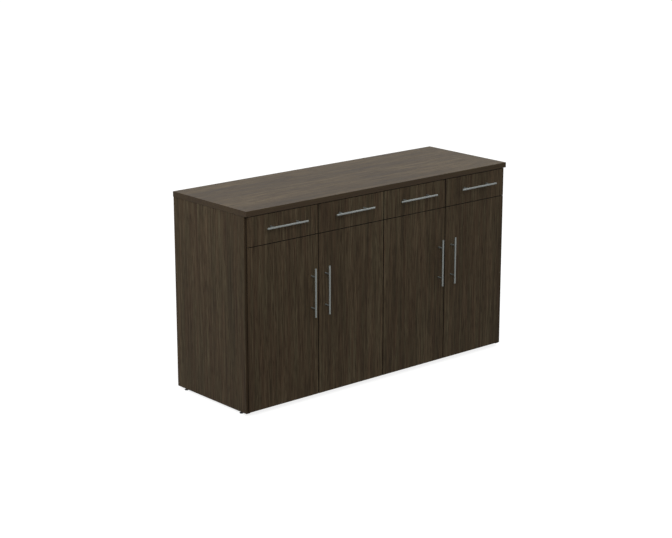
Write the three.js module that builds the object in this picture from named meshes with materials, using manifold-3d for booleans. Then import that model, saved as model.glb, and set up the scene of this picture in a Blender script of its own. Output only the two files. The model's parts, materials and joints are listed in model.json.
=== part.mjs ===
import * as THREE from 'three';
import { mergeVertices } from 'three/addons/utils/BufferGeometryUtils.js';
import Module from 'manifold-3d';

const wasm = await Module();
wasm.setup();

// Office credenza: a slab top over four drawers and four doors, in millimetres, +Z up, front towards -Y.
// The origin is on the floor, under the middle of the box round the whole cabinet, handles included.

// Overall sizes of the top and the cabinet
const topWidth = 1828.8;
const topDepth = 609.6;
const topThickness = 28.6;
const overallHeight = 1066.8;
const topSideOverhang = 2.5;
const topFrontOverhang = 2;
const edgeEase = 0.8;

// Carcass panels
const sideThickness = 25.4;
const dividerThickness = 25.4;
const bottomThickness = 19;
const backThickness = 16;
const deckThickness = 19;
const partitionThickness = 19;

// Doors and drawer fronts
const frontThickness = 18;
const frontRowSpacing = 2.5;
const frontSideSpacing = 4;
const frontToCarcass = 1.5;
const sideReveal = 12.7;
const drawerFrontHeight = 152.4;
const doorBottomLift = 10.8;

// Bar handles
const barDiameter = 10;
const barLength = 259;
const barChamfer = 0.8;
const postDiameter = 8;
const postSpacing = 168;
const handleStandoff = 35;
const drawerHandleDrop = 66.7;
const doorHandleDrop = 298.4;
const doorHandleEdge = 44.5;

// Concealed hinges
const hingeEndDistance = 100;
const cupDiameter = 35;
const cupDepth = 12;
const cupEdgeDistance = 5;
const hingeArmHeight = 13;
const hingeArmDepth = 14;
const hingeArmLength = 48;
const hingeArmSetback = 16;
const hingeNoseWidth = 11;
const hingeNoseEdge = 21;
const hingeCrankFront = 5;
const hingeCrankBack = 8;
const hingeArmTaper = 8;
const hingeSheet = 1.6;
const hingePlateThickness = 2.5;
const hingePlateWidth = 18;
const hingePlateSpan = 48;
const hingeRibLength = 10;
const hingeScrewDiameter = 5;
const hingeScrewSpacing = 32;

// Drawer slides
const slideSpace = 12.7;
const slideHeight = 35;
const slideLength = 500;
const slideSheet = 1.5;
const slideLip = 5.5;
const channelDepth = 10;
const slideSetback = 2;

// Drawer boxes
const boxLength = 508;
const boxHeight = 100;
const boxWall = 12.7;
const boxBottomThickness = 6.4;
const boxBottomRecess = 9.5;
const boxGroove = 6;
const boxLift = 14;

// Adjustable shelves on pins
const shelfThickness = 19;
const shelfHeight = 448;
const shelfEndGap = 1.5;
const shelfSetback = 12;
const shelfRearGap = 3;
const pinDiameter = 5;
const pinReach = 8;
const pinSink = 0.5;
const pinInset = 50;
const pinPitch = 32;
const pinHoleCount = 9;
const pinHoleDepth = 10;

// Levelling glides
const glideHeight = 12.7;
const glideDiameter = 20;
const glideNeckDiameter = 12;
const glideFootHeight = 7;
const glideChamfer = 1.5;
const glideStemDiameter = 8;
const glideStemLength = 18;
const glideInset = 58;

// Clearance between pieces that run in each other, the seam between pieces fixed together,
// and the overshoot of a cutting tool
const runningGap = 0.3;
const seam = 0.2;
const overshoot = 1;

// Facets round a circle, steps of a drawn arc, and the distance under which corners count as one
const bigFacets = 28;
const barFacets = 20;
const pinFacets = 8;
const arcSteps = 6;
const sameCorner = 1e-4;

// Places worked out from the sizes, across the width
const carcassHalfWidth = topWidth / 2 - topSideOverhang;
const sideInner = carcassHalfWidth - sideThickness;
const dividerFace = dividerThickness / 2;
const bayWidth = sideInner - dividerFace;
const bayCentre = (sideInner + dividerFace) / 2;
const frontCount = 4;
const frontsWidth = 2 * (carcassHalfWidth - sideReveal);
const frontWidth = (frontsWidth - (frontCount - 1) * frontSideSpacing) / frontCount;
const openingWidth = (bayWidth - partitionThickness) / 2;

// Places from front to back
const handleReach = handleStandoff + barDiameter / 2;
const backFace = (topDepth - topFrontOverhang + handleReach) / 2;
const frontFace = backFace - topDepth + topFrontOverhang;
const frontRear = frontFace + frontThickness;
const carcassFront = frontRear + frontToCarcass;
const backInner = backFace - backThickness;
const innerDepth = backInner - carcassFront;

// Places from the floor up
const carcassBottom = glideHeight;
const carcassTop = overallHeight - topThickness;
const drawerTop = carcassTop - frontRowSpacing;
const drawerBottom = drawerTop - drawerFrontHeight;
const doorTop = drawerBottom - frontRowSpacing;
const doorBottom = carcassBottom + doorBottomLift;
const doorHeight = doorTop - doorBottom;
const deckTop = drawerBottom - frontRowSpacing / 2 + deckThickness / 2;
const bottomTop = doorBottom + bottomThickness;
const boxBottom = deckTop + boxLift;
const slideCentre = boxBottom + boxHeight / 2;
const pinHeight = shelfHeight - pinDiameter / 2 + pinSink;

const laminate = new THREE.MeshStandardMaterial({ color: 0x4a4034, roughness: 0.45, metalness: 0 });
const liner = new THREE.MeshStandardMaterial({ color: 0xa79c8b, roughness: 0.6, metalness: 0 });
const satinMetal = new THREE.MeshStandardMaterial({ color: 0xb4b2ad, roughness: 0.35, metalness: 1 });
const zincPlate = new THREE.MeshStandardMaterial({ color: 0xa9abad, roughness: 0.4, metalness: 1 });
const blackNylon = new THREE.MeshStandardMaterial({ color: 0x2b2b2c, roughness: 0.6, metalness: 0 });

// A closed geometry as a solid: only positions, shared vertices merged, collapsed triangles dropped
function solidOf(geometry) {
  const bare = geometry.clone();
  bare.deleteAttribute('normal');
  bare.deleteAttribute('uv');
  const merged = mergeVertices(bare, sameCorner);
  const corners = merged.index.array;
  const kept = [];
  for (let i = 0; i < corners.length; i += 3) {
    const [a, b, c] = corners.slice(i, i + 3);
    if (a !== b && b !== c && c !== a) kept.push(a, b, c);
  }
  return new wasm.Manifold(new wasm.Mesh({
    numProp: 3,
    vertProperties: new Float32Array(merged.attributes.position.array),
    triVerts: new Uint32Array(kept),
  }));
}

function geometryOf(solid) {
  const { vertProperties, triVerts } = solid.getMesh();
  const geometry = new THREE.BufferGeometry();
  geometry.setAttribute('position', new THREE.BufferAttribute(vertProperties, 3));
  geometry.setIndex(new THREE.BufferAttribute(triVerts, 1));
  geometry.computeVertexNormals();
  return geometry;
}

function cut(geometry, tools) {
  return geometryOf(tools.reduce((body, tool) => body.subtract(solidOf(tool)), solidOf(geometry)));
}

function join(geometries) {
  const [first, ...rest] = geometries.map(solidOf);
  return geometryOf(rest.reduce((body, piece) => body.add(piece), first));
}

function place(group, name, geometry, material, x, y, z) {
  const mesh = new THREE.Mesh(geometry, material);
  mesh.name = name;
  mesh.position.set(x, y, z);
  group.add(mesh);
  return mesh;
}

function outline(points) {
  return new THREE.Shape(points.map(([x, y]) => new THREE.Vector2(x, y)));
}

// A plain panel given by its low and high corners, cut back half a seam on each face, added in its place
function panelBetween(group, name, low, high, tools = []) {
  const size = high.map((value, axis) => value - low[axis] - seam);
  const middle = high.map((value, axis) => (value + low[axis]) / 2);
  const board = new THREE.BoxGeometry(...size);
  const localTools = tools.map((tool) => tool.translate(-middle[0], -middle[1], -middle[2]));
  return place(group, name, localTools.length ? cut(board, localTools) : board, laminate, ...middle);
}

// A board of the given width and height with eased edges, centred, its thickness along Z
function easedBoard(width, height, thickness) {
  const halfWidth = width / 2;
  const halfHeight = height / 2;
  const face = outline([
    [-halfWidth, -halfHeight], [halfWidth, -halfHeight], [halfWidth, halfHeight], [-halfWidth, halfHeight],
  ]);
  const board = new THREE.ExtrudeGeometry(face, {
    depth: thickness - 2 * edgeEase,
    bevelEnabled: true,
    bevelSegments: 1,
    bevelSize: edgeEase,
    bevelThickness: edgeEase,
    bevelOffset: -edgeEase,
  });
  return board.translate(0, 0, edgeEase - thickness / 2);
}

// The same board standing up as a door or drawer front, its thickness along Y
function easedFront(width, height) {
  return easedBoard(width, height, frontThickness).rotateX(Math.PI / 2);
}

// A round bore or pin along X, from one place towards another
function rodAlongX(diameter, fromX, toX, y, z) {
  const rod = new THREE.CylinderGeometry(diameter / 2, diameter / 2, Math.abs(toX - fromX), pinFacets);
  return rod.rotateZ(Math.PI / 2).translate((fromX + toX) / 2, y, z);
}

const pinColumns = [carcassFront + pinInset, backInner - pinInset];

// The line-bored shelf pin holes of one upright face, towards side +1 or -1 from it
function pinHoles(faceX, into) {
  const holes = [];
  for (const y of pinColumns) {
    for (let i = 0; i < pinHoleCount; i += 1) {
      const z = pinHeight + (i - (pinHoleCount - 1) / 2) * pinPitch;
      const diameter = pinDiameter + 2 * runningGap;
      holes.push(rodAlongX(diameter, faceX - into * overshoot, faceX + into * pinHoleDepth, y, z));
    }
  }
  return holes;
}

const glideRows = { front: carcassFront + glideInset, back: backFace - glideInset };
const glideX = carcassHalfWidth - sideThickness / 2;

// The blind hole in a side panel's lower edge that takes a glide's stem
function stemHole(x, y) {
  const depth = glideStemLength + runningGap;
  const radius = glideStemDiameter / 2 + runningGap;
  const hole = new THREE.CylinderGeometry(radius, radius, depth + overshoot, barFacets);
  return hole.rotateX(Math.PI / 2).translate(x, y, carcassBottom + (depth - overshoot) / 2);
}

function addCarcass(group) {
  place(group, 'top_panel', easedBoard(topWidth, topDepth, topThickness), laminate,
    0, backFace - topDepth / 2, carcassTop + topThickness / 2);
  for (const [side, sign] of [['left', -1], ['right', 1]]) {
    const faces = [sign * sideInner, sign * carcassHalfWidth];
    const stemHoles = Object.values(glideRows).map((y) => stemHole(sign * glideX, y));
    panelBetween(group, `side_panel_${side}`,
      [Math.min(...faces), carcassFront, carcassBottom], [Math.max(...faces), backFace, carcassTop],
      [...pinHoles(sign * sideInner, sign), ...stemHoles]);
  }
  panelBetween(group, 'bottom_panel',
    [-sideInner, carcassFront, doorBottom], [sideInner, backInner, bottomTop]);
  panelBetween(group, 'back_panel',
    [-sideInner, backInner, doorBottom], [sideInner, backFace, carcassTop]);
  panelBetween(group, 'centre_divider',
    [-dividerFace, carcassFront, bottomTop], [dividerFace, backInner, carcassTop],
    [...pinHoles(-dividerFace, 1), ...pinHoles(dividerFace, -1)]);
}

function addDrawerCompartments(group) {
  for (const [side, sign] of [['left', -1], ['right', 1]]) {
    const middle = sign * bayCentre;
    panelBetween(group, `drawer_deck_${side}`,
      [middle - bayWidth / 2, carcassFront, deckTop - deckThickness],
      [middle + bayWidth / 2, backInner, deckTop]);
    panelBetween(group, `drawer_partition_${side}`,
      [middle - partitionThickness / 2, carcassFront, deckTop],
      [middle + partitionThickness / 2, backInner, carcassTop]);
  }
}

// A shelf with its four support pins, which reach into the pin holes at both ends
function shelfGeometry() {
  const width = bayWidth - 2 * shelfEndGap;
  const depth = innerDepth - shelfSetback - shelfRearGap;
  const board = new THREE.BoxGeometry(width, depth, shelfThickness)
    .translate(0, (shelfSetback - shelfRearGap) / 2, 0);
  const pins = [];
  for (const y of pinColumns) {
    for (const sign of [-1, 1]) {
      const tip = sign * (bayWidth / 2 + pinHoleDepth - 2 * runningGap);
      const root = sign * (width / 2 - pinReach);
      pins.push(rodAlongX(pinDiameter, root, tip, y - (carcassFront + backInner) / 2,
        pinHeight - shelfHeight - shelfThickness / 2));
    }
  }
  return join([board, ...pins]);
}

function addShelves(group) {
  for (const [side, sign] of [['left', -1], ['right', 1]]) {
    place(group, `shelf_${side}`, shelfGeometry(), laminate,
      sign * bayCentre, (carcassFront + backInner) / 2, shelfHeight + shelfThickness / 2);
  }
}

// A levelling glide, turned: a foot, a neck under the panel and a stem up into it, standing on Z = 0
function glideGeometry() {
  const foot = glideDiameter / 2;
  const neck = glideNeckDiameter / 2;
  const stem = glideStemDiameter / 2;
  const profile = [
    [0, 0], [foot - glideChamfer, 0], [foot, glideChamfer], [foot, glideFootHeight - glideChamfer],
    [neck, glideFootHeight], [neck, glideHeight], [stem, glideHeight],
    [stem, glideHeight + glideStemLength], [0, glideHeight + glideStemLength],
  ];
  const turned = new THREE.LatheGeometry(profile.map(([r, h]) => new THREE.Vector2(r, h)), barFacets);
  return turned.rotateX(Math.PI / 2);
}

function addGlides(group) {
  for (const [row, y] of Object.entries(glideRows)) {
    for (const [side, sign] of [['left', -1], ['right', 1]]) {
      place(group, `glide_${row}_${side}`, glideGeometry(), blackNylon, sign * glideX, y, 0);
    }
  }
}

// A bar handle along X on two posts, the posts standing on Y = 0 and reaching towards -Y
function handleGeometry() {
  const radius = barDiameter / 2;
  const half = barLength / 2;
  const profile = [
    [0, -half], [radius - barChamfer, -half], [radius, barChamfer - half],
    [radius, half - barChamfer], [radius - barChamfer, half], [0, half],
  ];
  const bar = new THREE.LatheGeometry(profile.map(([r, h]) => new THREE.Vector2(r, h)), barFacets)
    .rotateZ(Math.PI / 2).translate(0, -handleStandoff, 0);
  const posts = [-1, 1].map((sign) => new THREE
    .CylinderGeometry(postDiameter / 2, postDiameter / 2, handleStandoff, barFacets)
    .translate(sign * postSpacing / 2, -handleStandoff / 2, 0));
  return join([bar, ...posts]);
}

// Each door: the side its hinges are on, and how far the upright behind it is covered by the door
const doorHinging = [
  { hingeSide: -1, overlay: sideThickness - sideReveal },
  { hingeSide: 1, overlay: dividerFace - frontSideSpacing / 2 },
  { hingeSide: -1, overlay: dividerFace - frontSideSpacing / 2 },
  { hingeSide: 1, overlay: sideThickness - sideReveal },
];
const hingeHeights = { upper: doorTop - hingeEndDistance, lower: doorBottom + hingeEndDistance };

function frontCentre(index) {
  return -frontsWidth / 2 + frontWidth / 2 + index * (frontWidth + frontSideSpacing);
}

// A door leaf with its hinge cups bored into the back
function doorGeometry(hingeSide) {
  const cupX = hingeSide * (frontWidth / 2 - cupEdgeDistance - cupDiameter / 2);
  const cups = Object.values(hingeHeights).map((z) => new THREE
    .CylinderGeometry(cupDiameter / 2, cupDiameter / 2, cupDepth + overshoot, bigFacets)
    .translate(cupX, frontThickness / 2 + (overshoot - cupDepth) / 2, z - (doorTop + doorBottom) / 2));
  return cut(easedFront(frontWidth, doorHeight), cups);
}

// A layer of a hinge drawn from above, from the door's hinge edge inwards and from the door's face back,
// and run out to the given height about Z = 0
function hingeLayer(hingeSide, points, height) {
  const shape = outline(points.map(([inwards, back]) => [-hingeSide * inwards, back]));
  const layer = new THREE.ExtrudeGeometry(shape, { depth: height, bevelEnabled: false });
  return layer.translate(0, 0, -height / 2);
}

// The mounting plate of a hinge: a flat bar with round ends and two screw holes, on the upright's face
function hingePlateGeometry(hingeSide, faceInwards, middleBack) {
  const radius = hingePlateWidth / 2;
  const reach = hingePlateSpan / 2 - radius;
  const face = new THREE.Shape();
  face.absarc(0, reach, radius, 0, Math.PI);
  face.absarc(0, -reach, radius, Math.PI, 2 * Math.PI);
  for (const sign of [-1, 1]) {
    const hole = new THREE.Path();
    hole.absarc(0, sign * hingeScrewSpacing / 2, hingeScrewDiameter / 2, 0, 2 * Math.PI, true);
    face.holes.push(hole);
  }
  const inwardsFrom = hingeSide < 0 ? faceInwards : -faceInwards - hingePlateThickness;
  const plate = { depth: hingePlateThickness, bevelEnabled: false, curveSegments: arcSteps };
  return new THREE.ExtrudeGeometry(face, plate)
    .rotateX(Math.PI / 2).rotateZ(Math.PI / 2).translate(inwardsFrom, middleBack, 0);
}

// A concealed hinge's fixed half: an arm folded from sheet, open towards the upright, that cranks forward
// and reaches down into the cup, on a mounting plate whose rib fills the arm's middle
function hingeArmGeometry(hingeSide, covered) {
  const overlay = covered + seam;
  const upright = frontThickness + frontToCarcass;
  const front = upright + hingeArmSetback;
  const rear = front + hingeArmLength;
  const inner = overlay + hingeArmDepth;
  const rearInner = overlay + hingeArmDepth / 2;
  const noseInner = hingeNoseEdge + hingeNoseWidth;
  const noseTip = frontThickness - cupDepth + runningGap;
  const arm = hingeLayer(hingeSide, [
    [overlay, front], [hingeNoseEdge, upright + hingeCrankFront], [hingeNoseEdge, noseTip],
    [noseInner, noseTip], [noseInner, upright + hingeCrankBack], [inner, front + hingeArmSetback],
    [inner, rear - hingeArmTaper], [rearInner, rear], [overlay, rear],
  ], hingeArmHeight);
  const hollowHeight = hingeArmHeight - 2 * hingeSheet;
  const hollow = hingeLayer(hingeSide, [
    [overlay - overshoot, front + hingeSheet], [inner - hingeSheet, front + hingeArmSetback],
    [inner - hingeSheet, rear - hingeArmTaper - hingeSheet], [rearInner - hingeSheet, rear + overshoot],
    [overlay - overshoot, rear + overshoot],
  ], hollowHeight);
  const middle = (front + rear) / 2;
  const ribFront = middle - hingeRibLength / 2;
  const ribRear = middle + hingeRibLength / 2;
  const rib = hingeLayer(hingeSide, [
    [overlay, ribFront], [inner - hingeSheet, ribFront], [inner - hingeSheet, ribRear], [overlay, ribRear],
  ], hollowHeight);
  return join([cut(arm, [hollow]), rib, hingePlateGeometry(hingeSide, overlay, middle)]);
}

function addDoors(carcass, doors) {
  doorHinging.forEach(({ hingeSide, overlay }, index) => {
    const label = index + 1;
    const leaf = new THREE.Group();
    leaf.position.set(frontCentre(index), 0, 0);
    place(leaf, `door_${label}`, doorGeometry(hingeSide), laminate,
      0, frontFace + frontThickness / 2, (doorTop + doorBottom) / 2);
    const handle = place(leaf, `door_handle_${label}`, handleGeometry(), satinMetal,
      -hingeSide * (frontWidth / 2 - doorHandleEdge), frontFace, doorTop - doorHandleDrop);
    handle.rotation.y = Math.PI / 2;
    doors.add(leaf);
    for (const [level, z] of Object.entries(hingeHeights)) {
      place(carcass, `hinge_arm_${label}_${level}`, hingeArmGeometry(hingeSide, overlay), zincPlate,
        frontCentre(index) + hingeSide * frontWidth / 2, frontFace, z);
    }
  });
}

// The fixed half of a drawer slide in section, from the panel it is screwed to: a lipped channel
const channelHalf = slideHeight / 2;
const lipRear = channelDepth - slideSheet;
const channelSection = outline([
  [seam, -channelHalf], [channelDepth, -channelHalf], [channelDepth, slideLip - channelHalf],
  [lipRear, slideLip - channelHalf], [lipRear, slideSheet - channelHalf],
  [slideSheet, slideSheet - channelHalf], [slideSheet, channelHalf - slideSheet],
  [lipRear, channelHalf - slideSheet], [lipRear, channelHalf - slideLip],
  [channelDepth, channelHalf - slideLip], [channelDepth, channelHalf], [seam, channelHalf],
]);

// The moving half, screwed to the drawer box, with brims that run behind the channel's lips
const webHalf = channelHalf - slideLip - runningGap;
const brimHalf = channelHalf - slideSheet - runningGap;
const brimFront = lipRear - runningGap;
const brimRear = brimFront - slideSheet;
const webFace = slideSpace - seam;
const runnerSection = outline([
  [webFace, -webHalf], [webFace, webHalf], [brimFront, webHalf], [brimFront, brimHalf],
  [brimRear, brimHalf], [brimRear, webHalf - slideSheet], [webFace - slideSheet, webHalf - slideSheet],
  [webFace - slideSheet, slideSheet - webHalf], [brimRear, slideSheet - webHalf], [brimRear, -brimHalf],
  [brimFront, -brimHalf], [brimFront, -webHalf],
]);

// A slide half run out along Y from its section, opening towards +X or, on a right-hand slide, towards -X
function slideGeometry(section, opensTowards) {
  const run = new THREE.ExtrudeGeometry(section, { depth: slideLength, bevelEnabled: false });
  run.rotateX(Math.PI / 2).translate(0, slideLength, 0);
  return opensTowards > 0 ? run : run.rotateZ(Math.PI).translate(0, slideLength, 0);
}

// A drawer box: four glued walls with the bottom let into a groove, its front wall on Y = 0
function drawerBoxGeometry() {
  const width = openingWidth - 2 * slideSpace;
  const inside = { width: width - 2 * boxWall, length: boxLength - 2 * boxWall };
  const ring = outline([[-width / 2, 0], [width / 2, 0], [width / 2, boxLength], [-width / 2, boxLength]]);
  ring.holes.push(new THREE.Path([
    [-inside.width / 2, boxWall], [-inside.width / 2, boxLength - boxWall],
    [inside.width / 2, boxLength - boxWall], [inside.width / 2, boxWall],
  ].map(([x, y]) => new THREE.Vector2(x, y))));
  const walls = new THREE.ExtrudeGeometry(ring, { depth: boxHeight, bevelEnabled: false });
  const bottom = new THREE.BoxGeometry(
    inside.width + 2 * boxGroove, inside.length + 2 * boxGroove, boxBottomThickness)
    .translate(0, boxLength / 2, boxBottomRecess + boxBottomThickness / 2);
  return join([walls, bottom]);
}

function drawerOpeningCentre(index) {
  const sign = index < frontCount / 2 ? -1 : 1;
  const outer = index === 0 || index === frontCount - 1;
  return sign * (outer ? sideInner - openingWidth / 2 : dividerFace + openingWidth / 2);
}

function addDrawers(carcass, drawers) {
  for (let index = 0; index < frontCount; index += 1) {
    const label = index + 1;
    const drawer = new THREE.Group();
    place(drawer, `drawer_front_${label}`, easedFront(frontWidth, drawerFrontHeight), laminate,
      frontCentre(index), frontFace + frontThickness / 2, (drawerTop + drawerBottom) / 2);
    place(drawer, `drawer_handle_${label}`, handleGeometry(), satinMetal,
      frontCentre(index), frontFace, drawerTop - drawerHandleDrop);
    place(drawer, `drawer_box_${label}`, drawerBoxGeometry(), liner,
      drawerOpeningCentre(index), frontRear + seam, boxBottom);
    drawers.add(drawer);
    for (const [side, sign] of [['left', -1], ['right', 1]]) {
      const faceX = drawerOpeningCentre(index) + sign * openingWidth / 2;
      const y = carcassFront + slideSetback;
      place(carcass, `slide_channel_${label}_${side}`, slideGeometry(channelSection, -sign), zincPlate,
        faceX, y, slideCentre);
      place(drawer, `slide_runner_${label}_${side}`, slideGeometry(runnerSection, -sign), zincPlate,
        faceX, y, slideCentre);
    }
  }
}

const credenza = new THREE.Group();
const carcass = new THREE.Group();
const doors = new THREE.Group();
const drawers = new THREE.Group();
credenza.add(carcass, doors, drawers);

addCarcass(carcass);
addDrawerCompartments(carcass);
addShelves(carcass);
addGlides(carcass);
addDoors(carcass, doors);
addDrawers(carcass, drawers);

export default credenza;
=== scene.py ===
import json
import math

import bmesh
import bpy
from mathutils import Matrix, Vector


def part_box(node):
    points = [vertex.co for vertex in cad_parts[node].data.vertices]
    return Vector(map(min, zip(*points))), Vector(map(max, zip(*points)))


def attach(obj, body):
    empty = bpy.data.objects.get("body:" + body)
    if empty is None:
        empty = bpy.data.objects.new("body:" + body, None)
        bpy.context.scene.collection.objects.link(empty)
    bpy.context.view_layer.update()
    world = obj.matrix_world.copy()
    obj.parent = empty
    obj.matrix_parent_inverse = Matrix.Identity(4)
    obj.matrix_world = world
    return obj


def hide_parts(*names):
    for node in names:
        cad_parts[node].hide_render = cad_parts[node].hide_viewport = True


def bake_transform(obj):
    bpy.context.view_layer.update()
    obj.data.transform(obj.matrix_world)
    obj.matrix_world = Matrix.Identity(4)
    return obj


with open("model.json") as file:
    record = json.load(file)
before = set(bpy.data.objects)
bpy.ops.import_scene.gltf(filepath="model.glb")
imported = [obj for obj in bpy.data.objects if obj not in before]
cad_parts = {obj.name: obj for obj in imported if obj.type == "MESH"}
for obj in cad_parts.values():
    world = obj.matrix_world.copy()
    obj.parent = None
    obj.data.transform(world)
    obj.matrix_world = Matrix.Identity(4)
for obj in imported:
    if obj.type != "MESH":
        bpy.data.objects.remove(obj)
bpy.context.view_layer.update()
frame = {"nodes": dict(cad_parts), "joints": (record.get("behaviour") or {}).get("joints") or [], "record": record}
scene = bpy.context.scene
scene.view_settings.view_transform = "Standard"
mm = 0.001
fronts = (1, 2, 3, 4)   # doors and drawers are numbered from the left


def linear(hexText):
    channels = [int(hexText[i:i + 2], 16) / 255 for i in (1, 3, 5)]
    return [c / 12.92 if c <= 0.04045 else ((c + 0.055) / 1.055) ** 2.4 for c in channels] + [1.0]


# adds a node, sets its properties, then fills its inputs with plain values or with links
def addNode(tree, kind, inputs=None, **properties):
    node = tree.nodes.new("ShaderNode" + kind)
    for key, value in properties.items():
        setattr(node, key, value)
    for key, value in (inputs or {}).items():
        if isinstance(value, bpy.types.NodeSocket):
            tree.links.new(value, node.inputs[key])
        else:
            node.inputs[key].default_value = value
    return node


def newMaterial(name):
    material = bpy.data.materials.new(name)
    material.use_nodes = True
    return material, material.node_tree, material.node_tree.nodes["Principled BSDF"]


# camera at the photo's angle: place and angles solved from the object's edges in the 672 x 538 photo
photoCamera = {
    "place": (-5.922, -6.749, 2.996),
    "turnedLeft": 40.85,   # degrees from straight on
    "tiltedDown": 15.20,   # degrees
    "focalPixels": 1718.3,
    "photoWidth": 672,
    "sensorWidth": 36.0,
}


def addCamera(c):
    data = bpy.data.cameras.new("photo_camera")
    data.sensor_width = c["sensorWidth"]
    data.lens = c["focalPixels"] * c["sensorWidth"] / c["photoWidth"]
    data.clip_end = 400
    camera = bpy.data.objects.new("photo_camera", data)
    scene.collection.objects.link(camera)
    camera.location = c["place"]
    camera.rotation_euler = (math.radians(90 - c["tiltedDown"]), 0, math.radians(-c["turnedLeft"]))
    scene.camera = camera


addCamera(photoCamera)
print("camera placed")


# melamine laminate: printed wood grain under a matt resin skin, which gives long straight streaks of
# red-brown and grey-green, short darker pores, and a soft sheen only at a low angle
melamine = {
    "warm": ("#332820", "#493c2e", "#5f5140"),    # dark, middle and light streaks
    "olive": ("#312a20", "#483f30", "#605745"),
    "pore": "#231a13",
    "layers": ((85, 1500, 0.26), (12, 420, 0.38), (4.5, 170, 0.36)),   # across mm, along mm, share
    "contrast": (0.33, 0.67),       # the part of the summed noise that is spread from dark to light
    "hue": (22, 400),               # width and length of a streak of one hue, mm
    "hueRange": (0.36, 0.64),
    "wander": (240, 900, 5.0),      # the grain lines drift: across mm, along mm, by mm
    "pores": (3.4, 70),             # true pores are 0.3 mm wide; drawn wider so that they show
    "poreRange": (0.52, 0.66),
    "poreDepth": 0.55,
    "roughness": (0.44, 0.54),
    "relief": 0.06,                 # mm
    "specular": 0.035,              # the skin is blasted matt, so little gloss is left straight on
}


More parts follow.
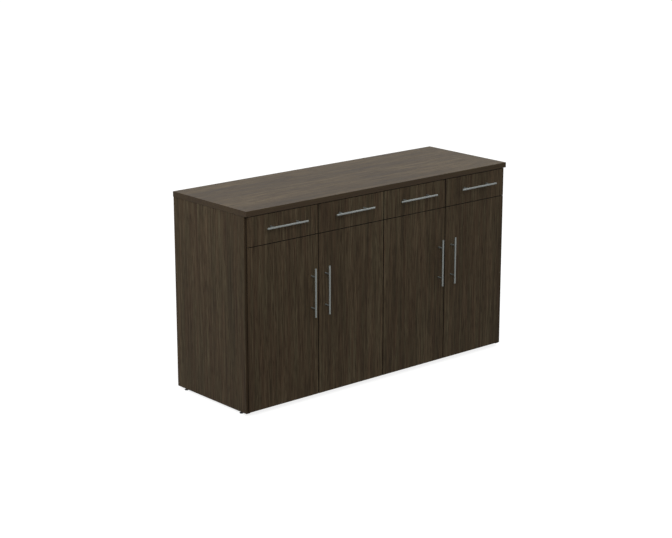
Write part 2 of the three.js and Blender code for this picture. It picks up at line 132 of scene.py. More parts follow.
# grainAxis is the way the print runs; faceAxis is the panel's thickness, so that the faces turned away
# from it are the edge band, a plain strip of tinted PVC, with painted shade where it lines a narrow gap
def melamineLaminate(name, m, grainAxis, faceAxis, band):
    material, tree, shader = newMaterial(name)
    surface = addNode(tree, "TexCoord")
    place = addNode(tree, "SeparateXYZ", {0: surface.outputs["Object"]})
    order = [axis for axis in "XYZ" if axis != grainAxis] + [grainAxis]
    field = addNode(tree, "CombineXYZ", {i: place.outputs[axis] for i, axis in enumerate(order)})

    across, along, by = m["wander"]
    slow = addNode(tree, "VectorMath", {0: field.outputs[0], 1: (1000 / across, 1000 / across, 1000 / along)},
                   operation="MULTIPLY")
    drift = addNode(tree, "TexNoise", {"Vector": slow.outputs[0], "Scale": 1.0, "Detail": 2.0})
    centred = addNode(tree, "VectorMath", {0: drift.outputs["Color"], 1: (0.5, 0.5, 0.5)}, operation="SUBTRACT")
    lines = addNode(tree, "VectorMath", {0: centred.outputs[0], 1: (2 * by * mm, 2 * by * mm, 0),
                                         2: field.outputs[0]}, operation="MULTIPLY_ADD")

    total = None
    for across, along, share in m["layers"]:
        stretch = (1000 / across, 1000 / across, 1000 / along)
        stretched = addNode(tree, "VectorMath", {0: lines.outputs[0], 1: stretch}, operation="MULTIPLY")
        streak = addNode(tree, "TexNoise", {"Vector": stretched.outputs[0], "Scale": 1.0, "Detail": 2.0})
        total = addNode(tree, "Math", {0: streak.outputs["Fac"], 1: share,
                                       2: total.outputs[0] if total else 0.0}, operation="MULTIPLY_ADD")
    tone = addNode(tree, "MapRange", {"Value": total.outputs[0], "From Min": m["contrast"][0],
                                      "From Max": m["contrast"][1]})
    prints = []
    for inks in (m["warm"], m["olive"]):
        streaks = addNode(tree, "ValToRGB", {0: tone.outputs[0]})
        ramp = streaks.color_ramp
        ramp.elements[0].color = linear(inks[0])
        ramp.elements[1].color = linear(inks[2])
        ramp.elements.new(0.5).color = linear(inks[1])
        prints.append(streaks.outputs[0])
    across, along = m["hue"]
    patches = addNode(tree, "VectorMath", {0: lines.outputs[0], 1: (1000 / across, 1000 / across, 1000 / along),
                                           2: (7, 3, 5)}, operation="MULTIPLY_ADD")
    hue = addNode(tree, "TexNoise", {"Vector": patches.outputs[0], "Scale": 1.0, "Detail": 2.0})
    share = addNode(tree, "MapRange", {"Value": hue.outputs["Fac"], "From Min": m["hueRange"][0],
                                       "From Max": m["hueRange"][1]})
    grain = addNode(tree, "Mix", {0: share.outputs[0], 6: prints[0], 7: prints[1]}, data_type="RGBA")

    across, along = m["pores"]
    dashes = addNode(tree, "VectorMath", {0: lines.outputs[0], 1: (1000 / across, 1000 / across, 1000 / along)},
                     operation="MULTIPLY")
    dots = addNode(tree, "TexNoise", {"Vector": dashes.outputs[0], "Scale": 1.0, "Detail": 1.0})
    pores = addNode(tree, "MapRange", {"Value": dots.outputs["Fac"], "From Min": m["poreRange"][0],
                                       "From Max": m["poreRange"][1], "To Max": m["poreDepth"]})
    printed = addNode(tree, "Mix", {0: pores.outputs[0], 6: grain.outputs[2], 7: linear(m["pore"])},
                      data_type="RGBA")

    facing = addNode(tree, "SeparateXYZ", {0: surface.outputs["Normal"]})
    flat = addNode(tree, "Math", {0: facing.outputs[faceAxis]}, operation="ABSOLUTE")
    onBand = addNode(tree, "Math", {0: flat.outputs[0], 1: 0.9}, operation="LESS_THAN")
    tinted = addNode(tree, "Mix", {0: tone.outputs[0], 6: linear(band["dark"]), 7: linear(band["light"])},
                     data_type="RGBA")
    # painted shade: in a narrow gap an occlusion node darkens the strip's colour, because the soft light
    # alone leaves the strip's own shade too pale
    paintedShadeAO = addNode(tree, "AmbientOcclusion", {"Distance": band["gapDepth"] * mm}, samples=8)
    unshadedShare = addNode(tree, "MapRange", {"Value": paintedShadeAO.outputs["AO"], "From Min": band["gapRange"][0],
                                        "From Max": band["gapRange"][1]})
    edge = addNode(tree, "Mix", {0: unshadedShare.outputs[0], 6: linear(band["paintedGapShade"]), 7: tinted.outputs[2]},
                   data_type="RGBA")
    colour = addNode(tree, "Mix", {0: onBand.outputs[0], 6: printed.outputs[2], 7: edge.outputs[2]},
                     data_type="RGBA")
    tree.links.new(colour.outputs[2], shader.inputs["Base Color"])

    gloss = addNode(tree, "MapRange", {"Value": tone.outputs[0], "To Min": m["roughness"][0],
                                       "To Max": m["roughness"][1]})
    tree.links.new(gloss.outputs[0], shader.inputs["Roughness"])
    height = addNode(tree, "Math", {0: tone.outputs[0], 1: pores.outputs[0]}, operation="SUBTRACT")
    relief = addNode(tree, "Bump", {"Strength": 0.5, "Distance": m["relief"] * mm, "Height": height.outputs[0]})
    tree.links.new(relief.outputs[0], shader.inputs["Normal"])
    shader.inputs["Specular IOR Level"].default_value = m["specular"]
    return material


# pale melamine for the drawer boxes: a thin printed foil with a faint cloudy linen print, quite matt
paleFoil = {"dark": "#a39782", "light": "#b8ad9a", "cloud": 14, "thread": 1.6, "roughness": 0.55}   # mm


def paleMelamine(name, p):
    material, tree, shader = newMaterial(name)
    surface = addNode(tree, "TexCoord")
    clouds = addNode(tree, "TexNoise", {"Vector": surface.outputs["Object"], "Scale": 1000 / p["cloud"],
                                        "Detail": 3.0})
    threads = addNode(tree, "TexNoise", {"Vector": surface.outputs["Object"], "Scale": 1000 / p["thread"],
                                         "Detail": 1.0})
    both = addNode(tree, "Math", {0: clouds.outputs["Fac"], 1: threads.outputs["Fac"]}, operation="ADD")
    tone = addNode(tree, "MapRange", {"Value": both.outputs[0], "From Min": 0.75, "From Max": 1.25})
    colour = addNode(tree, "Mix", {0: tone.outputs[0], 6: linear(p["dark"]), 7: linear(p["light"])},
                     data_type="RGBA")
    tree.links.new(colour.outputs[2], shader.inputs["Base Color"])
    shader.inputs["Roughness"].default_value = p["roughness"]
    return material


# satin nickel on a turned bar: fine rings spread what it reflects into one soft line of light along the bar,
# and the haze of the lacquer over it is why it is only partly metallic
nickel = {
    "dull": "#6d716f",
    "bright": "#848886",
    "ring": 0.9,   # mm
    "roughness": (0.36, 0.48),
    "metallic": 0.6,
    "specular": 0.3,
}


def satinNickel(name, n):
    material, tree, shader = newMaterial(name)
    surface = addNode(tree, "TexCoord")
    rings = addNode(tree, "VectorMath", {0: surface.outputs["Object"], 1: (1000 / n["ring"], 20, 20)},
                    operation="MULTIPLY")
    brushed = addNode(tree, "TexNoise", {"Vector": rings.outputs[0], "Scale": 1.0, "Detail": 2.0})
    colour = addNode(tree, "Mix", {0: brushed.outputs["Fac"], 6: linear(n["dull"]), 7: linear(n["bright"])},
                     data_type="RGBA")
    tree.links.new(colour.outputs[2], shader.inputs["Base Color"])
    gloss = addNode(tree, "MapRange", {"Value": brushed.outputs["Fac"], "To Min": n["roughness"][0],
                                       "To Max": n["roughness"][1]})
    tree.links.new(gloss.outputs[0], shader.inputs["Roughness"])
    shader.inputs["Metallic"].default_value = n["metallic"]
    shader.inputs["Specular IOR Level"].default_value = n["specular"]
    return material


# zinc-plated pressed steel: cool grey, with cloudy patches left by the passivating bath
zinc = {"dull": "#94979a", "bright": "#b6b9bb", "patch": 9, "roughness": (0.32, 0.48)}   # patch in mm


def zincPlatedSteel(name, z):
    material, tree, shader = newMaterial(name)
    surface = addNode(tree, "TexCoord")
    patches = addNode(tree, "TexNoise", {"Vector": surface.outputs["Object"], "Scale": 1000 / z["patch"],
                                         "Detail": 3.0})
    colour = addNode(tree, "Mix", {0: patches.outputs["Fac"], 6: linear(z["dull"]), 7: linear(z["bright"])},
                     data_type="RGBA")
    tree.links.new(colour.outputs[2], shader.inputs["Base Color"])
    gloss = addNode(tree, "MapRange", {"Value": patches.outputs["Fac"], "To Min": z["roughness"][0],
                                       "To Max": z["roughness"][1]})
    tree.links.new(gloss.outputs[0], shader.inputs["Roughness"])
    shader.inputs["Metallic"].default_value = 1.0
    return material


# moulded nylon: near black, with the fine spark-eroded texture of the mould
nylon = {"dark": "#232324", "light": "#303031", "texture": 0.8, "roughness": 0.55, "relief": 0.03}   # mm


def mouldedNylon(name, n):
    material, tree, shader = newMaterial(name)
    surface = addNode(tree, "TexCoord")
    grit = addNode(tree, "TexNoise", {"Vector": surface.outputs["Object"], "Scale": 1000 / n["texture"],
                                      "Detail": 2.0})
    colour = addNode(tree, "Mix", {0: grit.outputs["Fac"], 6: linear(n["dark"]), 7: linear(n["light"])},
                     data_type="RGBA")
    tree.links.new(colour.outputs[2], shader.inputs["Base Color"])
    relief = addNode(tree, "Bump", {"Strength": 0.4, "Distance": n["relief"] * mm,
                                    "Height": grit.outputs["Fac"]})
    tree.links.new(relief.outputs[0], shader.inputs["Normal"])
    shader.inputs["Roughness"].default_value = n["roughness"]
    return material


# edge band: tinted PVC, and a near-black painted shade that the occlusion node lays on it in narrow gaps
edgeBand = {
    "dark": "#3a2f25",
    "light": "#453a2b",
    "paintedGapShade": "#0d0b09",
    "gapDepth": 5.5,          # mm, how far a neighbour counts as the other wall of a gap
    "gapRange": (0.84, 0.98),   # open share of the half-sphere, from deep in a gap to free
}
# the side panels' bands take the painted shade only deep in the corner beside the fronts
panelBand = {**edgeBand, "gapRange": (0.30, 0.70)}     # beside the fronts it stands in an open corner
topMelamine = {**melamine, "contrast": (0.37, 0.63), "hueRange": (-0.5, 1.5), "specular": 0.06}   # evener in hue
frontLaminate = melamineLaminate("melamine_laminate_front", melamine, "Z", "Y", edgeBand)
uprightLaminate = melamineLaminate("melamine_laminate_upright", melamine, "Z", "X", panelBand)
topLaminate = melamineLaminate("melamine_laminate_top", topMelamine, "X", "Z", edgeBand)
drawerFoil = paleMelamine("pale_melamine_foil", paleFoil)
barNickel = satinNickel("satin_nickel_turned", nickel)
zincSteel = zincPlatedSteel("zinc_plated_steel", zinc)
blackNylon = mouldedNylon("black_nylon_moulded", nylon)
print("materials made")


# the CAD panels keep their shapes and take the laminate that fits the way they stand
panelFinish = {
    "top_": topLaminate, "bottom_": topLaminate, "drawer_deck": topLaminate, "shelf_": topLaminate,
    "door_": frontLaminate, "drawer_front": frontLaminate, "back_": frontLaminate,
    "side_": uprightLaminate, "centre_": uprightLaminate, "drawer_partition": uprightLaminate,
}
slotFinish = {"drawer_liner": drawerFoil, "satin_bar": barNickel, "zinc_plate": zincSteel,
              "black_nylon": blackNylon}
for part in frame["record"]["subparts"]:
    finish = slotFinish.get(part["material_slot"])
    if finish is None:
        finish = next(f for start, f in panelFinish.items() if part["node"].startswith(start))
    frame["nodes"][part["node"]].material_slots[0].material = finish
print("panels finished")


# spins a profile of (radius, height) points about Z into a closed solid; it starts and ends on the axis
def turnedMesh(name, profile, sides):
    shape = bmesh.new()
    rings = []
    for radius, height in profile:
        count = sides if radius > 0 else 1
        turns = [2 * math.pi * i / sides for i in range(count)]
        rings.append([shape.verts.new((radius * math.cos(t), radius * math.sin(t), height)) for t in turns])
    for low, high in zip(rings, rings[1:]):
        for i in range(sides):
            j = (i + 1) % sides
            corners = [low[i % len(low)], low[j % len(low)], high[j % len(high)], high[i % len(high)]]
            shape.faces.new(list(dict.fromkeys(corners)))
    bmesh.ops.recalc_face_normals(shape, faces=shape.faces)
    return meshFrom(name, shape)


def arc(centreRadius, centreHeight, radius, start, end, steps=5):
    turns = [math.radians(start + (end - start) * i / steps) for i in range(steps + 1)]
    return [(centreRadius + radius * math.cos(t), centreHeight + radius * math.sin(t)) for t in turns]


def meshFrom(name, shape, sharpAngle=35):
    mesh = bpy.data.meshes.new(name)
    shape.to_mesh(mesh)
    shape.free()
    mesh.polygons.foreach_set("use_smooth", [True] * len(mesh.polygons))
    mesh.set_sharp_from_angle(angle=math.radians(sharpAngle))
    return mesh


# a copy of a mesh set at a point with its Z axis turned to a direction
def aimed(point, direction):
    return Matrix.Translation(point) @ Vector(direction).to_track_quat("Z", "Y").to_matrix().to_4x4()


# one mesh of several like solids
def gathered(name, mesh, places):
    shape = bmesh.new()
    for place in places:
        before = len(shape.verts)
        shape.from_mesh(mesh)
        shape.verts.ensure_lookup_table()
        bmesh.ops.transform(shape, matrix=place, verts=shape.verts[before:])
    return meshFrom(name, shape)


def addPiece(name, mesh, finish, body, place=None):
    piece = bpy.data.objects.new(name, mesh)
    scene.collection.objects.link(piece)
    if not mesh.materials:
        mesh.materials.append(finish)
    if place is not None:
        piece.matrix_world = place
    if body:
        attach(piece, body)
    return piece


# bar handles: a turned bar with rounded ends on two turned posts, made once and shared
barHandle = {"postDiameter": 8, "postSpacing": 168, "rounding": 0.9, "barSides": 40, "postSides": 28}   # mm


def handleMesh(h):
    low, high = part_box("drawer_handle_1")
    radius = (high.z - low.z) / 2
    half = (high.x - low.x) / 2
    standoff = high.y - low.y - radius
    r = h["rounding"] * mm
    ends = arc(radius - r, r - half, r, -90, 0) + arc(radius - r, half - r, r, 0, 90)
    barProfile = [(0, -half)] + ends + [(0, half)]
    post = h["postDiameter"] / 2 * mm
    postProfile = [(0, 0), (post, 0), (post, standoff), (0, standoff)]
    bar = bpy.data.objects.new("bar", turnedMesh("bar", barProfile, h["barSides"]))
    bar.matrix_world = Matrix.Translation((0, -standoff, 0)) @ Matrix.Rotation(math.pi / 2, 4, "Y")
    scene.collection.objects.link(bar)
    postMesh = turnedMesh("post", postProfile, h["postSides"])
    makers = [bar]
    for side in (-1, 1):
        stud = bpy.data.objects.new("post", postMesh)
        stud.matrix_world = aimed((side * h["postSpacing"] / 2 * mm, 0, 0), (0, -1, 0))
        scene.collection.objects.link(stud)
        joint = bar.modifiers.new("join", "BOOLEAN")
        joint.operation = "UNION"
        joint.object = stud
        makers.append(stud)
    bpy.context.view_layer.update()
    shape = bmesh.new()
    shape.from_object(bar, bpy.context.evaluated_depsgraph_get())
    shape.transform(bar.matrix_world)
    for maker in makers:
        bpy.data.objects.remove(maker)
    return meshFrom("bar_handle", shape)


handleShape = handleMesh(barHandle)
upright = Matrix.Rotation(math.pi / 2, 4, "Y")
for n in fronts:
    for kind, body, turn in (("drawer_handle", "drawer", Matrix()), ("door_handle", "leaf", upright)):
        low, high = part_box(f"{kind}_{n}")
        foot = Vector(((low.x + high.x) / 2, high.y, (low.z + high.z) / 2))
        handle = addPiece(f"{kind}_bar_{n}", handleShape, barNickel, f"{body}_{n}",
                          Matrix.Translation(foot) @ turn)
        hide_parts(f"{kind}_{n}")
print("handles made")


# levelling glides: a nylon foot moulded over a steel screw that goes up into the side panel
glide = {
    "footDiameter": 20, "footHeight": 4.4, "collarDiameter": 12, "collarTop": 5.4, "rounding": 1.2,   # mm
    "stemDiameter": 8, "threadPitch": 1.25, "threadDepth": 0.6, "threadedTo": 13, "sides": 36,
}


def glideFootMesh(g):
    foot, collar = (g[k] / 2 * mm for k in ("footDiameter", "collarDiameter"))
    r = g["rounding"] * mm
    top, collarTop = g["footHeight"] * mm, g["collarTop"] * mm
    profile = [(0, 0)] + arc(foot - r, r, r, -90, 0) + arc(foot - r, top - r, r, 0, 90)
    profile += [(collar, top), (collar, collarTop), (0, collarTop)]
    return turnedMesh("glide_foot", profile, g["sides"])


# the thread is drawn as level ridges where it shows, and the stem is plain inside the panel
def glideStemMesh(g):
    crest = g["stemDiameter"] / 2 * mm
    root = crest - g["threadDepth"] * mm
    pitch = g["threadPitch"] * mm
    height = g["collarTop"] * mm
    profile = [(0, height), (root, height)]
    while height + pitch < g["threadedTo"] * mm:
        profile += [(crest, height + pitch / 2), (root, height + pitch)]
        height += pitch
    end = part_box("glide_front_left")[1].z
    return turnedMesh("glide_stem", profile + [(crest, height + pitch / 2), (crest, end), (0, end)], g["sides"])


footShape = glideFootMesh(glide)
stemShape = glideStemMesh(glide)
for row in ("front", "back"):
    for side in ("left", "right"):
        low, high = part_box(f"glide_{row}_{side}")
        place = Matrix.Translation(((low.x + high.x) / 2, (low.y + high.y) / 2, 0))
        foot = addPiece(f"levelling_glide_{row}_{side}", footShape, blackNylon, "carcass", place)
        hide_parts(f"glide_{row}_{side}")
        addPiece(f"glide_stem_{row}_{side}", stemShape, zincSteel, "carcass", place)
print("glides made")


# heads of the fittings that are set in many places, in mm
screw = {"diameter": 7, "height": 1.4, "recess": 2.6, "recessDepth": 0.9, "sides": 18}       # pan head
cam = {"diameter": 15, "height": 0.4, "recess": 6, "recessDepth": 0.3, "sides": 24}          # cam lock's face
flatScrew = {"diameter": 8, "height": 0.09, "recess": 3, "recessDepth": 0.08, "sides": 18}   # countersunk
bumper = {"diameter": 6, "height": 1.2, "recess": 0, "recessDepth": 0, "sides": 18}          # soft stop


def headMesh(name, h):
    radius, height, recess = h["diameter"] / 2 * mm, h["height"] * mm, h["recess"] / 2 * mm
    crown = min(height * 0.8, radius * 0.3)
    profile = [(0, 0), (radius, 0)] + arc(radius - crown, height - crown, crown, 0, 90)
    if recess:
        deep = height - h["recessDepth"] * mm
        profile += [(recess, height), (recess * 0.6, deep), (0, deep)]
    else:
        profile += [(0, height)]
    return turnedMesh(name, profile, h["sides"])


screwShape = headMesh("pan_head_screw", screw)
camShape = headMesh("cam_lock", cam)
flatScrewShape = headMesh("countersunk_screw", flatScrew)
bumperShape = headMesh("door_bumper", bumper)


# concealed hinges: a pressed cup in the door, two links that swing out of it, and the screws of both halves
hinge = {
    "cupDiameter": 35, "cupDepth": 12, "cupCentre": 22.5, "wall": 0.9, "floor": 0.17, "play": 0.1,   # mm
    "flange": 41, "flangeThickness": 0.9, "earDiameter": 14, "earReach": 21, "cupSides": 48,
    "armDepth": 14, "armScrews": (57, 70), "plateThickness": 2.5, "plateBack": 59.5, "plateScrews": 32,
    "linkFrom": 28, "linkTo": 12, "linkWidth": 5, "linkThickness": 1.2, "linkSide": 7.6, "linkDepth": 9,
    "linkSteps": 10,
}


def cupMesh(h):
    bore = h["cupDiameter"] / 2 * mm - h["play"] * mm
    inside = bore - h["wall"] * mm
    bottom = -h["cupDepth"] * mm + h["play"] / 2 * mm
    rim, lift = h["flange"] / 2 * mm, h["flangeThickness"] * mm
    r = lift * 0.45
    profile = [(0, bottom), (bore, bottom), (bore, 0), (rim, 0)] + arc(rim - r, lift - r, r, 0, 90)
    profile += [(inside, lift), (inside, bottom + h["floor"] * mm), (0, bottom + h["floor"] * mm)]
    cup = turnedMesh("hinge_cup", profile, h["cupSides"])
    ear = headMesh("ear", {"diameter": h["earDiameter"], "height": h["flangeThickness"], "recess": 0,
                           "recessDepth": 0, "sides": 24})
    shape = bmesh.new()
    shape.from_mesh(cup)
    for side in (-1, 1):
        before = len(shape.verts)
        shape.from_mesh(ear)
        shape.verts.ensure_lookup_table()
        place = Matrix.Translation((0, side * h["earReach"] * mm, 0))
        bmesh.ops.transform(shape, matrix=place, verts=shape.verts[before:])
    return meshFrom("hinge_cup", shape)


# a pair of flat links seen from above, from the arm's nose to the cup's wall, in short steps
def linkMesh(name, h, edgeX, inwards, faceY, height):
    shape = bmesh.new()
    half, thick = h["linkWidth"] / 2 * mm, h["linkThickness"] * mm
    for side in (-1, 1):
        near = height + side * h["linkSide"] * mm
        far = near + side * thick
        rings = []
        for i in range(h["linkSteps"] + 1):
            reach = (h["linkFrom"] + (h["linkTo"] - h["linkFrom"]) * i / h["linkSteps"]) * mm
            x, y = edgeX + inwards * reach, faceY + h["linkDepth"] * mm
            corners = ((y - half, near), (y + half, near), (y + half, far), (y - half, far))
            rings.append([shape.verts.new((x, a, b)) for a, b in corners])
        for ring, following in zip(rings, rings[1:]):
            for i in range(4):
                j = (i + 1) % 4
                shape.faces.new((ring[i], ring[j], following[j], following[i]))
        shape.faces.new(rings[0])
        shape.faces.new(rings[-1])
    bmesh.ops.recalc_face_normals(shape, faces=shape.faces)
    return meshFrom(name, shape)


cupShape = cupMesh(hinge)
hingeX = {j["child"]: j["pos_m"][0] for j in frame["joints"] if j["type"] == "hinge"}
for n in fronts:
    doorLow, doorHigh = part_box(f"door_{n}")
    edgeX = hingeX[f"leaf_{n}"]
    inwards = 1 if (doorLow.x + doorHigh.x) / 2 > edgeX else -1
    cupScrews, armScrews = [], []
    for level in ("upper", "lower"):
        low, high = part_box(f"hinge_arm_{n}_{level}")
        height = (low.z + high.z) / 2
        cupX = edgeX + inwards * hinge["cupCentre"] * mm
        cup = addPiece(f"hinge_cup_{n}_{level}", cupShape, zincSteel, f"leaf_{n}",
                       aimed((cupX, doorHigh.y, height), (0, 1, 0)))
        for side in (-1, 1):
            point = (cupX, doorHigh.y + hinge["flangeThickness"] * mm, height + side * hinge["earReach"] * mm)
            cupScrews.append(aimed(point, (0, 1, 0)))
        links = linkMesh("hinge_links", hinge, edgeX, inwards, doorLow.y, height)
        link = addPiece(f"hinge_links_{n}_{level}", links, zincSteel, None)
        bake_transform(link)
        panelX = low.x if inwards > 0 else high.x
        for back in hinge["armScrews"]:
            point = (panelX + inwards * hinge["armDepth"] * mm, doorLow.y + back * mm, height)
            armScrews.append(aimed(point, (inwards, 0, 0)))
        for side in (-1, 1):
            point = (panelX + inwards * hinge["plateThickness"] * mm, doorLow.y + hinge["plateBack"] * mm,
                     height + side * hinge["plateScrews"] / 2 * mm)
            armScrews.append(aimed(point, (inwards, 0, 0)))
    addPiece(f"hinge_cup_screws_{n}", gathered("hinge_cup_screws", screwShape, cupScrews), zincSteel,
             f"leaf_{n}")
    addPiece(f"hinge_arm_screws_{n}", gathered("hinge_arm_screws", screwShape, armScrews), zincSteel,
             "carcass")
print("hinges made")


# shelves: a laminate board with eased edges, on four steel pins that stand in the bored holes
shelf = {
    "thickness": 19, "easing": 0.7, "endGap": 1.5,   # mm
    "pinDepth": 9.4, "pinReach": 8, "pinFromFront": 38, "pinFromBack": 47, "pinDrop": 2,
    "pinDiameter": 5, "pegDiameter": 4, "collarDiameter": 7.4, "collarThickness": 1.2, "pinSides": 20,
}


def boardMesh(name, low, high, easing):
    shape = bmesh.new()
    bmesh.ops.create_cube(shape, size=1)
    for corner in shape.verts:
        corner.co = [a + (b - a) * (share + 0.5) for a, b, share in zip(low, high, corner.co)]
    bmesh.ops.bevel(shape, geom=shape.edges, offset=easing * mm, segments=2, profile=0.5, affect="EDGES")
    return meshFrom(name, shape)


# a pin along Z with the panel's face at Z = 0, the bored hole below it and the shelf's end above
def pinMesh(s):
    pin, peg, collar = (s[k] / 2 * mm for k in ("pinDiameter", "pegDiameter", "collarDiameter"))
    thick = s["collarThickness"] * mm
    end = (s["endGap"] + s["pinReach"]) * mm
    r = peg * 0.5
    profile = [(0, -s["pinDepth"] * mm), (pin, -s["pinDepth"] * mm), (pin, 0), (collar, 0), (collar, thick)]
    profile += [(peg, thick)] + arc(peg - r, end - r, r, 0, 90) + [(0, end)]
    return turnedMesh("shelf_pin", profile, s["pinSides"])


pinShape = pinMesh(shelf)
for side in ("left", "right"):
    low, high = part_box(f"shelf_{side}")
    sunk = shelf["pinDepth"] * mm
    beyond = sunk + shelf["endGap"] * mm
    under = high.z - shelf["thickness"] * mm
    board = boardMesh("shelf_board", (low.x + beyond, low.y, under), (high.x - beyond, high.y, high.z),
                      shelf["easing"])
    piece = addPiece(f"shelf_board_{side}", board, topLaminate, "carcass")
    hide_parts(f"shelf_{side}")
    pins = []
    for y in (low.y + shelf["pinFromFront"] * mm, high.y - shelf["pinFromBack"] * mm):
        for x, inwards in ((low.x + sunk, 1), (high.x - sunk, -1)):
            pins.append(aimed((x, y, under - shelf["pinDrop"] * mm), (inwards, 0, 0)))
    addPiece(f"shelf_pins_{side}", gathered("shelf_pins", pinShape, pins), zincSteel, "carcass")
print("shelves made")


# drawers: the slides' screws, the screws that hold each front to its box, and soft stops behind the front
drawerFittings = {
    "slideSheet": 1.5, "slideSeam": 0.2, "screwFromEnd": 37,   # mm
    "boxWall": 12.7, "frontScrews": 150, "frontScrewRise": 32,
    "stopFromSide": 6.2, "stopFromPartition": 3.4, "stopFromTop": 20,
}


def addDrawerFittings(d):
    for n in fronts:
        channelScrews, runnerScrews, boxScrews, stops = [], [], [], []
        for side, inwards in (("left", 1), ("right", -1)):
            for kind, screws, facing in (("channel", channelScrews, inwards), ("runner", runnerScrews, -inwards)):
                low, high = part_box(f"slide_{kind}_{n}_{side}")
                if kind == "channel":
                    web = (low if side == "left" else high).x + facing * (d["slideSheet"] - d["slideSeam"]) * mm
                else:
                    web = (high if side == "left" else low).x + facing * d["slideSheet"] * mm
                inset = d["screwFromEnd"] * mm
                for y in (low.y + inset, (low.y + high.y) / 2, high.y - inset):
                    screws.append(aimed((web, y, (low.z + high.z) / 2), (facing, 0, 0)))
        boxLow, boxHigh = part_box(f"drawer_box_{n}")
        barLow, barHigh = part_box(f"drawer_handle_{n}")
        wall = boxLow.y + d["boxWall"] * mm
        for side in (-1, 1):
            boltX = (barLow.x + barHigh.x + side * barHandle["postSpacing"] * mm) / 2
            boxScrews.append(aimed((boltX, wall, (barLow.z + barHigh.z) / 2), (0, 1, 0)))
            screwX = (boxLow.x + boxHigh.x) / 2 + side * d["frontScrews"] * mm
            boxScrews.append(aimed((screwX, wall, boxLow.z + d["frontScrewRise"] * mm), (0, 1, 0)))
        low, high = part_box(f"drawer_front_{n}")
        for edge, inwards in ((low.x, 1), (high.x, -1)):
            byPartition = (n % 2 == 1) == (inwards < 0)
            inset = d["stopFromPartition"] if byPartition else d["stopFromSide"]
            for z in (low.z + d["stopFromTop"] * mm, high.z - d["stopFromTop"] * mm):
                stops.append(aimed((edge + inwards * inset * mm, high.y, z), (0, 1, 0)))
        addPiece(f"slide_channel_screws_{n}", gathered("slide_channel_screws", screwShape, channelScrews),
                 zincSteel, "carcass")
        addPiece(f"slide_runner_screws_{n}", gathered("slide_runner_screws", screwShape, runnerScrews),
                 zincSteel, f"drawer_{n}")
        addPiece(f"drawer_front_screws_{n}", gathered("drawer_front_screws", screwShape, boxScrews),
                 zincSteel, f"drawer_{n}")
        addPiece(f"drawer_stops_{n}", gathered("drawer_stops", bumperShape, stops), blackNylon,
                 f"drawer_{n}")


addDrawerFittings(drawerFittings)
print("drawer fittings made")


# doors: the bolts of the bar handle, and soft stops in the corners away from the hinges
doorFittings = {"stopFromEdge": 30, "stopFromTop": 4.5, "stopFromBottom": 9.5}   # mm


def addDoorFittings(d):
    for n in fronts:
        low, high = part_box(f"door_{n}")
        barLow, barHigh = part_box(f"door_handle_{n}")
        inwards = 1 if hingeX[f"leaf_{n}"] > (low.x + high.x) / 2 else -1
        free = low.x if inwards > 0 else high.x
        bolts = []
        for side in (-1, 1):
            boltZ = (barLow.z + barHigh.z + side * barHandle["postSpacing"] * mm) / 2
            bolts.append(aimed(((barLow.x + barHigh.x) / 2, high.y, boltZ), (0, 1, 0)))
        x = free + inwards * d["stopFromEdge"] * mm
        stops = [aimed((x, high.y, z), (0, 1, 0)) for z in (low.z + d["stopFromBottom"] * mm,
                                                           high.z - d["stopFromTop"] * mm)]
        addPiece(f"door_handle_bolts_{n}", gathered("door_handle_bolts", screwShape, bolts), zincSteel,
                 f"leaf_{n}")
        addPiece(f"door_stops_{n}", gathered("door_stops", bumperShape, stops), blackNylon,
                 f"leaf_{n}")


addDoorFittings(doorFittings)
print("door fittings made")


# carcass: cam locks let into the undersides of the level panels, and screws through the back
carcassFittings = {
    "camFromEnd": 34, "camFromEdge": 60,                  # mm
    "backScrewsAcross": (225, 449.6, 675),                # either side of the middle
    "backScrewsUp": (160, 340, 520, 700, 950),            # into the centre divider
}


def addCarcassFittings(c):
    for panel in ("drawer_deck_left", "drawer_deck_right", "bottom_panel"):
        low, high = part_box(panel)
        end, edge = c["camFromEnd"] * mm, c["camFromEdge"] * mm
        cams = [aimed((x, y, low.z), (0, 0, -1)) for x in (low.x + end, high.x - end)
                for y in (low.y + edge, high.y - edge)]
        addPiece(f"{panel}_cams", gathered("cam_locks", camShape, cams), zincSteel, "carcass")
    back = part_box("back_panel")[1].y
    points = [(0, z * mm) for z in c["backScrewsUp"]]
    for panel in ("drawer_deck_left", "bottom_panel"):
        low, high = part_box(panel)
        points += [(side * x * mm, (low.z + high.z) / 2) for x in c["backScrewsAcross"] for side in (-1, 1)]
    heads = [aimed((x, back, z), (0, 1, 0)) for x, z in points]
    addPiece("back_panel_screws", gathered("back_panel_screws", flatScrewShape, heads), zincSteel,
             "carcass")


addCarcassFittings(carcassFittings)
print("carcass fittings made")


# studio: a dome of even soft light with four softboxes, and a pale floor that runs to the horizon
studio = {
    "domeLevel": 1.07,       # strength of the dome on the object
    "domeFrom": (8, 30),     # degrees above the floor, from where the dome is dark to where it is full
    "softboxes": (           # place, the point it is aimed at, size in m, watts
        ((-2.8, -0.2, 2.6), (-0.9, 0.0, 0.9), 1.2, 28),
        ((-2.2, -2.8, 2.6), (-0.9, 0.0, 0.8), 1.6, 37),
        ((2.9, 0.4, 1.3), (0.9, 0.0, 0.5), 1.4, 8),      # weak, for the right-hand side
        ((2.0, -0.8, 3.2), (0.0, -0.3, 0.95), 1.4, 20),  # draws the line of light on the drawers' bars
    ),
    "floorHalf": 150,        # metres
    "floor": "#4a4947",
    "floorSeen": "#ffffff",
    "floorGlow": 0.84,       # what the floor adds by itself where it is seen, so that it comes out white
    "floorShare": 0.25,      # what the light, and the object's shadow, still add there
}


def seenDirectly(tree):
    path = addNode(tree, "LightPath")
    first = addNode(tree, "Math", {0: path.outputs["Is Camera Ray"], 1: path.outputs["Is Glossy Ray"]},
                    operation="ADD")
    return addNode(tree, "Math", {0: first.outputs[0], 1: path.outputs["Is Transmission Ray"]},
                   operation="ADD", use_clamp=True)


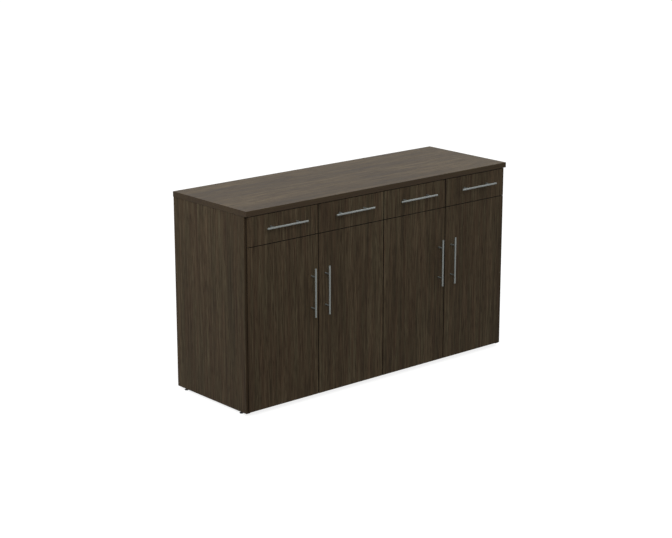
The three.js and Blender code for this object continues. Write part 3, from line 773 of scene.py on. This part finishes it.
def addStudio(s):
    world = bpy.data.worlds.new("studio_sky")
    scene.world = world
    world.use_nodes = True
    tree = world.node_tree
    tree.nodes.clear()
    aim = addNode(tree, "SeparateXYZ", {0: addNode(tree, "TexCoord").outputs["Generated"]})
    dark, full = (math.sin(math.radians(angle)) for angle in s["domeFrom"])
    dome = addNode(tree, "MapRange", {"Value": aim.outputs["Z"], "From Min": dark, "From Max": full,
                                      "To Max": s["domeLevel"]}, interpolation_type="SMOOTHSTEP")
    lit = addNode(tree, "Background", {"Color": (1, 1, 1, 1), "Strength": dome.outputs[0]})
    seen = addNode(tree, "Background", {"Color": (1, 1, 1, 1), "Strength": 1.0})
    both = addNode(tree, "MixShader", {0: seenDirectly(tree).outputs[0], 1: lit.outputs[0], 2: seen.outputs[0]})
    addNode(tree, "OutputWorld", {"Surface": both.outputs[0]})

    for place, target, size, watts in s["softboxes"]:
        lampData = bpy.data.lights.new("softbox", "AREA")
        lampData.energy = watts
        lampData.size = size
        lamp = bpy.data.objects.new("softbox", lampData)
        scene.collection.objects.link(lamp)
        lamp.location = place
        lamp.rotation_euler = (Vector(place) - Vector(target)).to_track_quat("Z", "Y").to_euler()
        lamp.visible_camera = False

    half = s["floorHalf"]
    floorMesh = bpy.data.meshes.new("studio_floor")
    corners = [(-half, -half, 0), (half, -half, 0), (half, half, 0), (-half, half, 0)]
    floorMesh.from_pydata(corners, [], [(0, 1, 2, 3)])
    floor = bpy.data.objects.new("studio_floor", floorMesh)
    scene.collection.objects.link(floor)
    material, tree, shader = newMaterial("pale_studio_floor")
    shader.inputs["Base Color"].default_value = linear(s["floor"])
    shader.inputs["Roughness"].default_value = 0.9
    shader.inputs["Specular IOR Level"].default_value = 0.0
    share = [s["floorShare"] * c for c in linear(s["floorSeen"])[:3]] + [1]
    paint = addNode(tree, "BsdfDiffuse", {"Color": share})
    glow = addNode(tree, "Emission", {"Color": linear(s["floorSeen"]), "Strength": s["floorGlow"]})
    white = addNode(tree, "AddShader", {0: paint.outputs[0], 1: glow.outputs[0]})
    seen = seenDirectly(tree).outputs[0]
    both = addNode(tree, "MixShader", {0: seen, 1: shader.outputs[0], 2: white.outputs[0]})
    tree.links.new(both.outputs[0], tree.nodes["Material Output"].inputs["Surface"])
    floorMesh.materials.append(material)


addStudio(studio)
print("studio lit")
